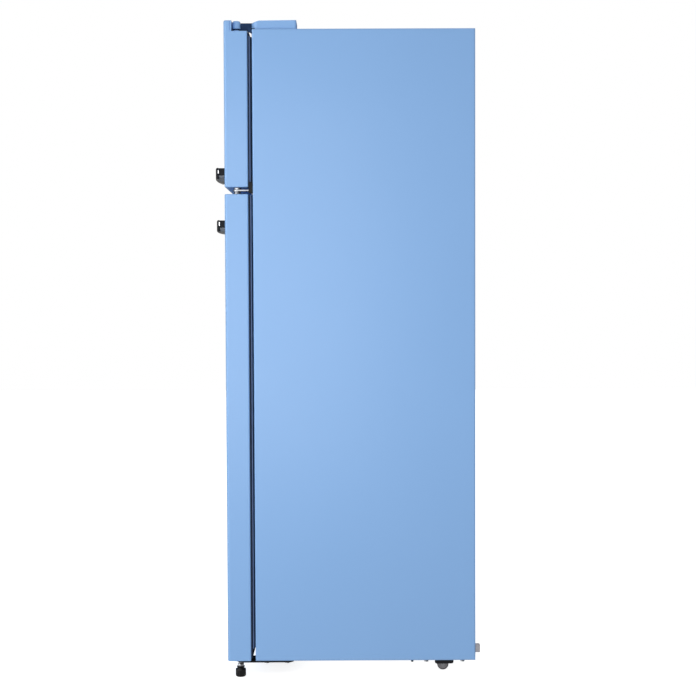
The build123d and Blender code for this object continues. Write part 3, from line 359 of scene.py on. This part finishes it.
MATERIALS = {
    "blue_painted_steel": blue_paint("blue_enamel", PAINT_BLUE, 0.36),
    "blue_plastic": blue_paint("blue_plastic", PAINT_BLUE, 0.40),
    "grey_coated_steel": coated_steel("grey_coated_steel", (0.52, 0.54, 0.57)),
    "black_steel": powder_coat("black_powder_coat", (0.018, 0.019, 0.022)),
    # Black hinge steel coloured dark navy: painted shade and painted reflection of the blue paint
    # round it.
    "navy_steel": powder_coat("black_coat_painted_navy_shade", (0.010, 0.036, 0.100)),
    "zinc_steel": bright_metal("zinc_plate", (0.40, 0.41, 0.43), 0.30),
    "foam": rigid_foam("rigid_foam"),
    "white_liner": vacuum_formed("white_liner", (0.84, 0.86, 0.88)),
    "aluminium_sheet": bright_metal("aluminium_sheet", (0.80, 0.81, 0.82), 0.35),
    "compressor_black": powder_coat("compressor_enamel", (0.014, 0.014, 0.016)),
    "copper": copper_tube("copper_tube"),
    "black_plastic": moulded_plastic("black_plastic", (0.008, 0.009, 0.011), 0.46, specular=0.22),
    "grey_plastic": moulded_plastic("grey_plastic", (0.38, 0.37, 0.40), 0.5),
    "foot_black_zinc": moulded_plastic("foot_black", (0.008, 0.008, 0.009), 0.36,
                                       specular=0.35),
    "roller_grey": moulded_plastic("roller_grey", (0.28, 0.27, 0.28), 0.5),
    "roller_tread": moulded_plastic("roller_tread", (0.13, 0.125, 0.13), 0.55),
    "satin_grey": moulded_plastic("satin_grey", (0.20, 0.205, 0.21), 0.5, specular=0.3),
    "rubber": soft_rubber("grommet_rubber", (0.02, 0.02, 0.021), 0.7),
    "gasket": soft_rubber("door_seal", (0.115, 0.175, 0.320), 0.60),
    # Near-black navy copy of the seal colour: painted shade of the seal's recesses, blue-tinted
    # like the shade between the blue panels.
    "gasket_painted_shade": soft_rubber("door_seal_painted_shade", (0.008, 0.022, 0.055), 0.65),
    "glass": sheet_glass("shelf_glass"),
    "clear_plastic": clear_moulding("clear_plastic", (0.90, 0.94, 0.97)),
    "white_plastic": moulded_plastic("white_plastic", (0.83, 0.84, 0.85), 0.35),
    "frosted_lens": frosted_lens("frosted_lens"),
    "chrome": chrome("polished_chrome"),
}


def dress_cad_nodes():
    """Gives every CAD node the material of its slot in the record, and smooth curves."""
    slots = {row["node"]: row["material_slot"] for row in frame["record"]["subparts"]}
    for name, node in frame["nodes"].items():
        node.data.materials.clear()
        node.data.materials.append(MATERIALS[slots[name]])
        smooth(node.data)


# ---------------------------------------------------------------- mesh helpers
def smooth(mesh):
    """Smooth shading that breaks at sharp edges."""
    for face in mesh.polygons:
        face.use_smooth = True
    mesh.set_sharp_from_angle(angle=SHARP_ANGLE)


def add_piece(name, points, faces, material, body, stands_for):
    """A new mesh piece that rides on a body and may stand for a CAD node."""
    mesh = bpy.data.meshes.new(name)
    mesh.from_pydata(points, [], faces)
    work = bmesh.new()
    work.from_mesh(mesh)
    bmesh.ops.recalc_face_normals(work, faces=work.faces)
    work.to_mesh(mesh)
    work.free()
    smooth(mesh)
    mesh.materials.append(material)
    piece = bpy.data.objects.new(name, mesh)
    bpy.context.scene.collection.objects.link(piece)
    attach(piece, body)
    if stands_for:
        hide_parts(stands_for)


def grid_faces(rows, columns, closed_rows=False):
    """Quads over a grid whose columns close on themselves."""
    faces = []
    for row in range(rows if closed_rows else rows - 1):
        after = (row + 1) % rows
        for column in range(columns):
            beside = (column + 1) % columns
            faces.append((row * columns + column, row * columns + beside,
                          after * columns + beside, after * columns + column))
    return faces


def end_faces(rows, columns):
    """One face over each end of a grid."""
    last = (rows - 1) * columns
    return [tuple(range(columns)), tuple(last + column for column in range(columns))]


def lathe(centre, axis, profile, steps, modulate=None, ring=False):
    """Points and faces of (height, radius) rows in millimetres, turned about an axis.

    modulate scales the radius by (height, angle). A ring joins its last row to its first.
    """
    points = []
    for height, radius in profile:
        for step in range(steps):
            angle = 2 * math.pi * step / steps
            reach = radius * (modulate(height, angle) if modulate else 1)
            across, up = reach * math.cos(angle), reach * math.sin(angle)
            offset = (across, up, height) if axis == "Z" else (height, across, up)
            points.append([centre[i] + offset[i] * MM for i in range(3)])
    faces = grid_faces(len(profile), steps, closed_rows=ring)
    return points, faces if ring else faces + end_faces(len(profile), steps)


# ---------------------------------------------------------------- door seals
def ring_piece(name, low, high, profile, material, body, stands_for):
    """A profile of (y, side inset, end inset) rows round a rectangle, mitred at its corners.

    y is in metres, and the insets from the rectangle's sides and ends are in millimetres.
    """
    corners = ((high[0], high[2]), (low[0], high[2]), (low[0], low[2]), (high[0], low[2]))
    points = []
    for x, z in corners:
        inward_x = -MM if x == high[0] else MM
        inward_z = -MM if z == high[2] else MM
        for y, side_inset, end_inset in profile:
            points.append((x + inward_x * side_inset, y, z + inward_z * end_inset))
    faces = grid_faces(len(corners), len(profile), closed_rows=True)
    add_piece(name, points, faces, MATERIALS[material], body, stands_for)


def door_seal(name, body, bead_span, bead_at):
    """Magnetic seal: a flat base and magnet strip in a near-black navy painted shade, with a
    lighter round bead between.

    bead_span is the strip's lowest and highest z, and bead_at is the bead's place from the
    door, as a part of the seal's depth.
    """
    low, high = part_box(name)
    depth = high[1] - low[1]
    strip_low = (low[0], low[1], bead_span[0])
    strip_high = (high[0], high[1], bead_span[1])

    base = ((0, 2.0, 0), (3.0, 2.0, 0), (3.2, 2.4, 0.4), (3.2, 15.5, 13.5), (0, 15.5, 13.5))
    rows = [(low[1] + y * MM, side, end) for y, side, end in base]
    # Painted shade: the base takes the near-black navy copy of the seal colour.
    ring_piece(name + "_base", low, high, rows, "gasket_painted_shade", body, name)

    end = 1.2                 # the strip's ends are upright, though its sides slope in
    magnet = ((0.30, 5.0, end), (bead_at, 3.0, end), (0.72, 3.4, end), (0.80, 5.8, end),
              (0.86, 7.6, end), (0.93, 8.6, end), (1.0, 9.6, end), (1.0, 15.0, 15.0),
              (0.90, 16.0, 16.0), (0.50, 14.5, 14.5), (0.30, 15.5, 15.5))
    rows = [(low[1] + part * depth, side, end) for part, side, end in magnet]
    # Painted shade: the magnet strip takes the near-black navy copy of the seal colour too.
    ring_piece(name + "_magnet", strip_low, strip_high, rows, "gasket_painted_shade", body, name)

    turns, bulge = 9, 1.5
    crest, root, reach = 2.2, 5, 2.1      # insets of the bead's middle and back, and its swell
    bead = []
    for turn in range(turns):
        angle = math.pi * turn / (turns - 1)
        bead.append((-bulge * math.cos(angle), crest - reach * math.sin(angle)))
    bead += [(bulge, root), (-bulge, root)]
    middle = low[1] + bead_at * depth
    rows = [(middle + y * MM, inset, inset * 0.5) for y, inset in bead]
    ring_piece(name + "_bead", strip_low, strip_high, rows, "gasket", body, name)


# ---------------------------------------------------------------- handles
def rounded_outline(half_y, half_z, radius):
    """A rounded rectangle in the YZ plane about its centre."""
    steps = 5
    radius = min(radius, half_y, half_z)
    outline = []
    for quarter, (side_y, side_z) in enumerate(((1, 1), (-1, 1), (-1, -1), (1, -1))):
        for step in range(steps + 1):
            angle = (quarter + step / steps) * math.pi / 2
            outline.append((side_y * (half_y - radius) + radius * math.cos(angle),
                            side_z * (half_z - radius) + radius * math.sin(angle)))
    return outline


def bowed_bar(name, body, finish, node, span, middle, half, radius, end, bow=0):
    """A rounded bar along X that bows towards -Y, with rounded ends, in millimetres.

    span is its two ends in x. middle and half are its centre and half its size in y and z.
    radius rounds its long edges, and end its end faces.
    """
    left, right = span
    centre, reach = (left + right) / 2, (right - left) / 2
    end_steps, body_steps = 5, 28
    stations = []             # x, and how far the outline is drawn in there
    for step in range(end_steps):
        angle = math.pi / 2 * step / end_steps
        stations.append((left + end * (1 - math.cos(angle)), end * (1 - math.sin(angle))))
    for step in range(body_steps + 1):
        stations.append((left + end + (right - left - 2 * end) * step / body_steps, 0))
    stations += [(left + right - x, inset) for x, inset in reversed(stations[:end_steps])]
    points = []
    for x, inset in stations:
        y = middle[0] - bow * (1 - ((x - centre) / reach) ** 2)
        outline = rounded_outline(half[0] - inset, half[1] - inset, radius - inset * 0.6)
        points += [(x * MM, (y + dy) * MM, (middle[1] + dz) * MM) for dy, dz in outline]
    rows, columns = len(stations), len(outline)
    faces = grid_faces(rows, columns) + end_faces(rows, columns)
    add_piece(name, points, faces, MATERIALS[finish], body, node)


def handle(door):
    """Bowed chrome bar with dark end caps and a grey finger lip behind its lower edge."""
    node, body = door + "_handle", door + "_door"
    low, high = (tuple(value / MM for value in corner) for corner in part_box(node))
    bow, thick, tall = 5.5, 7.5, high[2] - low[2]
    edge = 3.4                # rounding of the bar's long edges
    middle = (low[1] + bow + thick / 2, (low[2] + high[2]) / 2)
    half = (thick / 2, tall / 2)

    cap = 4.0                 # length of an end cap
    span = (low[0] + cap / 2, high[0] - cap / 2)
    bowed_bar(node + "_bar", body, "chrome", node, span, middle, half, edge, 2.2, bow)

    cap_half = (thick / 2 + 0.25, tall / 2)
    inlay_half = (1.15, 4.75)
    inlay_middle = (middle[0] + thick / 2 - inlay_half[0] - 0.7, middle[1] + inlay_half[1])
    sunk, proud = 0.8, 0.15   # the inlay's back and face, from the cap's two ends
    for side, ends, inlay in (
            ("left", (low[0], low[0] + cap), (low[0] - proud, low[0] + cap - sunk)),
            ("right", (high[0] - cap, high[0]), (high[0] - cap + sunk, high[0] + proud))):
        bowed_bar("%s_cap_%s" % (node, side), body, "black_plastic", node, ends, middle,
                  cap_half, edge, 1.6)
        bowed_bar("%s_inlay_%s" % (node, side), body, "chrome", node, inlay, inlay_middle,
                  inlay_half, 0.8, 0.3)

    lip_span = (low[0] + 4, high[0] - 0.5)
    lip_middle = (low[1] + bow + 13.5, low[2] + 7.4)
    bowed_bar(node + "_lip", body, "satin_grey", node, lip_span, lip_middle, (7.6, 2.3), 1.6,
              1.2, bow)


# ---------------------------------------------------------------- pins, feet and rollers
def chassis_pin(side):
    """Small dark headed pin under the folded lower edge of a side panel."""
    low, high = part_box(side + "_side_panel")
    in_from_side, y, below = 12 * MM, 158.2 * MM, 5.5 * MM
    x = high[0] - in_from_side if side == "right" else low[0] + in_from_side
    profile = [(0, 0.6), (0.3, 2.2), (1.0, 2.9), (2.6, 2.9), (3.0, 2.1), (6.0, 2.1)]
    points, faces = lathe((x, y, low[2] - below), "Z", profile, 24)
    add_piece("chassis_pin_" + side, points, faces, MATERIALS["black_plastic"], "cabinet",
              None)


def front_foot(side):
    """Black ribbed cup with a flared collar, and a zinc hexagon on a threaded stud."""
    node = "front_foot_" + side
    low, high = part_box(node)
    centre = ((low[0] + high[0]) / 2, (low[1] + high[1]) / 2, low[2])
    ribs, groove = 16, 0.10   # the grooves' depth is a part of the radius
    rib_low, rib_high = 3.2, 15.2
    hexagon_low, hexagon_high = 24.0, 28.6

    def ribbed(height, angle):
        if rib_low < height < rib_high:
            return 1 - groove * max(0, math.cos(ribs * angle)) ** 3
        return 1

    def six_sided(height, angle):
        if hexagon_low < height < hexagon_high:
            return 1 / math.cos(angle % (math.pi / 3) - math.pi / 6)
        return 1

    cup = [(0, 8.6), (0.5, 9.8), (1.6, 11.0), (3.0, 11.5), (3.4, 11.5), (4.2, 11.5),
           (8, 11.5), (12, 11.5), (14.6, 11.5), (15.4, 11.5), (16.4, 11.45), (17.2, 10.9),
           (17.6, 9.8), (17.6, 7.6), (18.4, 7.3), (19.6, 7.5), (21.2, 8.3), (22.2, 9.1),
           (22.7, 9.2), (22.8, 8.8), (22.8, 5.0)]
    points, faces = lathe(centre, "Z", cup, ribs * 12, ribbed)
    add_piece(node + "_cup", points, faces, MATERIALS["foot_black_zinc"], node,
              node)

    stud = [(22.6, 6.2), (23.2, 6.6), (24.1, 6.72), (25.4, 6.75), (27.2, 6.75), (28.5, 6.72),
            (29.2, 6.5), (29.5, 5.4)]
    turns, pitch, thread_low = 4, 1.25, 29.7
    thread_root, thread_crest = 4.3, 5.0
    for turn in range(turns):
        start = thread_low + turn * pitch
        stud += [(start, thread_root), (start + 0.35 * pitch, thread_crest),
                 (start + 0.5 * pitch, thread_crest), (start + 0.85 * pitch, thread_root)]
    points, faces = lathe(centre, "Z", stud, 72, six_sided)
    add_piece(node + "_stud", points, faces, MATERIALS["zinc_steel"], node, node)


def rear_roller(side):
    """Wheel with a dark grooved tread round a dished grey centre."""
    node = "rear_roller_" + side
    low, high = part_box(node)
    centre = tuple((low[i] + high[i]) / 2 for i in range(3))
    half = (high[0] - low[0]) / 2 / MM
    radius = (high[2] - low[2]) / 2 / MM
    tread = [(-half, radius - 1.9), (-half, radius - 1.3), (-half + 0.5, radius - 0.4),
             (-half + 1.5, radius), (-1, radius), (-0.6, radius - 0.35), (0.6, radius - 0.35),
             (1, radius), (half - 1.5, radius), (half - 0.5, radius - 0.4),
             (half, radius - 1.3), (half, radius - 1.9), (half - 1.8, radius - 2.3),
             (-half + 1.8, radius - 2.3)]
    hub = [(-half + 0.2, 3.1), (-half + 0.2, 5.3), (-half + 1.6, 5.8), (-half + 2.0, 7.0),
           (-half + 1.8, radius - 2.2), (half - 1.8, radius - 2.2), (half - 2.0, 7.0),
           (half - 1.6, 5.8), (half - 0.2, 5.3), (half - 0.2, 3.1)]
    for part, profile, finish in (("_tread", tread, "roller_tread"),
                                  ("_hub", hub, "roller_grey")):
        points, faces = lathe(centre, "X", profile, 96, ring=True)
        add_piece(node + part, points, faces, MATERIALS[finish], node, node)


# ---------------------------------------------------------------- build the scene
bpy.context.scene.view_settings.view_transform = "Standard"
make_camera()
make_world()
make_floor()
make_softbox("key", place=(1.58, -0.467, 0.864), target=(0.27, 0.003, 0.797), width=1.2,
             height=1.2, watts=9.7)
make_softbox("front", place=(1.1, -2.4, 1.25), target=(0.25, -0.2, 0.8), width=0.9,
             height=1.6, watts=8)
dress_cad_nodes()
door_seal("freezer_gasket", "freezer_door", bead_span=(1.0951, 1.4122), bead_at=0.42)
door_seal("fridge_gasket", "fridge_door", bead_span=(0.0641, 1.0666), bead_at=0.56)
for door in ("freezer", "fridge"):
    handle(door)
for side in ("left", "right"):
    front_foot(side)
    rear_roller(side)
    chassis_pin(side)
